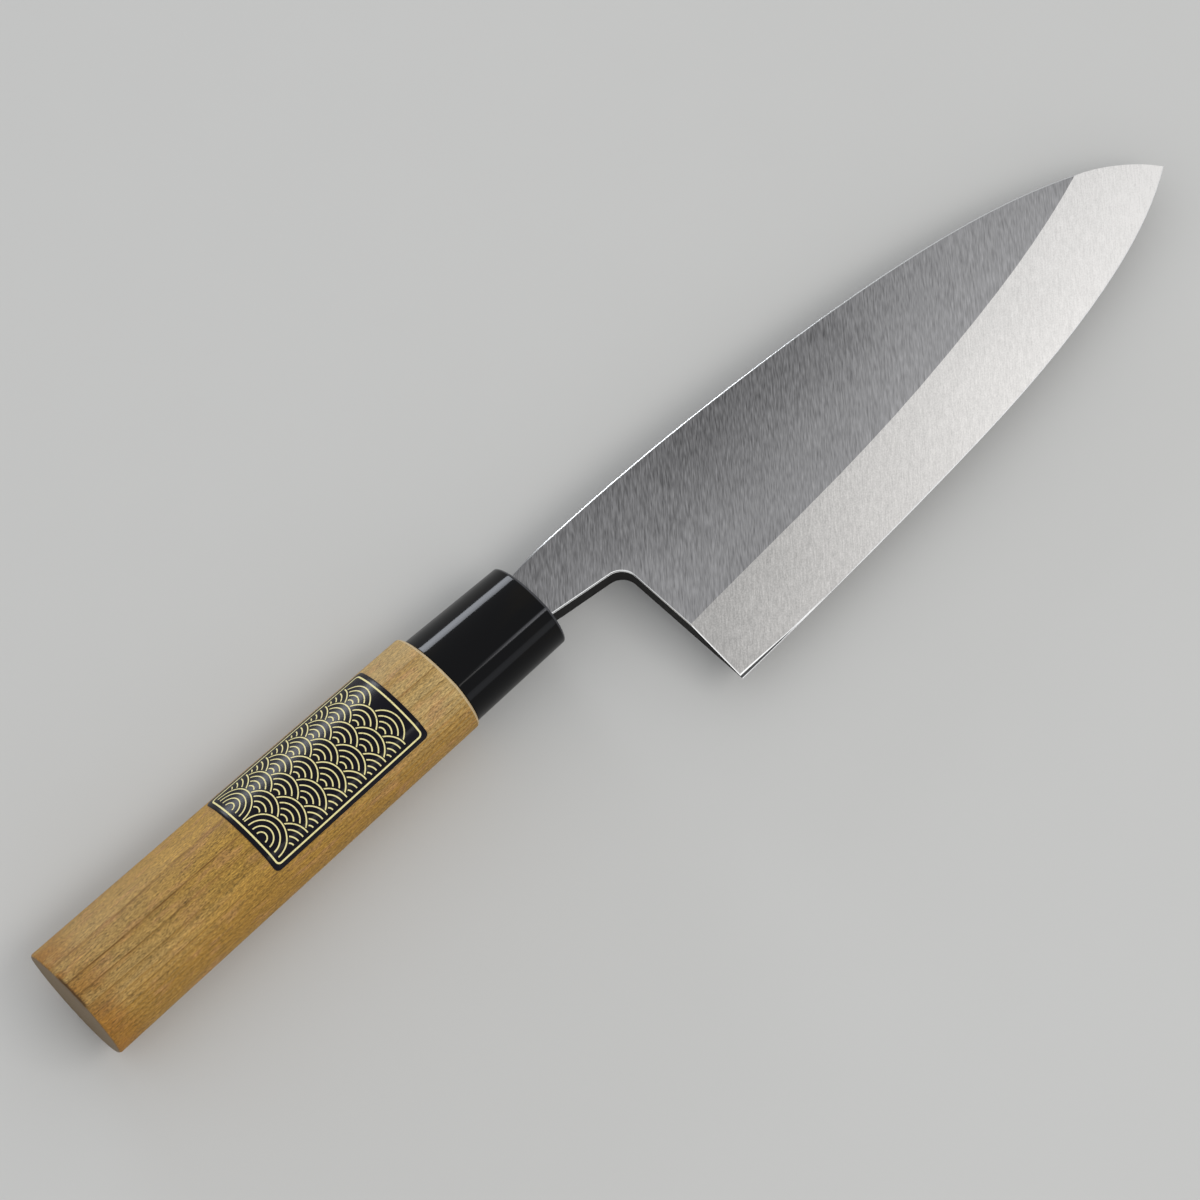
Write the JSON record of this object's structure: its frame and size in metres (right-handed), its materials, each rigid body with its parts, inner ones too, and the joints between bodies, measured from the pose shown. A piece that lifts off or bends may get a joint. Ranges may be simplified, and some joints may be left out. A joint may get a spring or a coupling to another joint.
{
  "type": "deba knife",
  "caption": "Right-handed single-bevel Japanese fish knife with a laminated steel blade, wooden handle, black ferrule and a patterned paper label.",
  "frame": {"origin": "middle of the handle's butt face", "axes": "+X along the handle to the blade's tip, +Y to the spine's side, +Z out of the bevelled side, as the knife lies with its bevel up"},
  "size_m": [0.2977, 0.0574, 0.0242],
  "materials": {
    "soft_steel": "satin with fine cross strokes on the flat, matt on the bevel",
    "hard_steel": "matt, stone ground",
    "black_horn": "polished gloss",
    "pale_wood": "sanded bare wood with parallel grain lines",
    "bedding_resin": "cured resin, hidden",
    "seal_resin": "matt filler",
    "label_paper": "black printed paper with a pale gold line and wave pattern"
  },
  "bodies": {
    "root": {"blade_cladding": "soft_steel", "edge_steel": "hard_steel", "ferrule": "black_horn", "grip": "pale_wood", "tang_bedding": "bedding_resin", "neck_seal": "seal_resin", "label": "label_paper"}
  },
  "joints": []
}
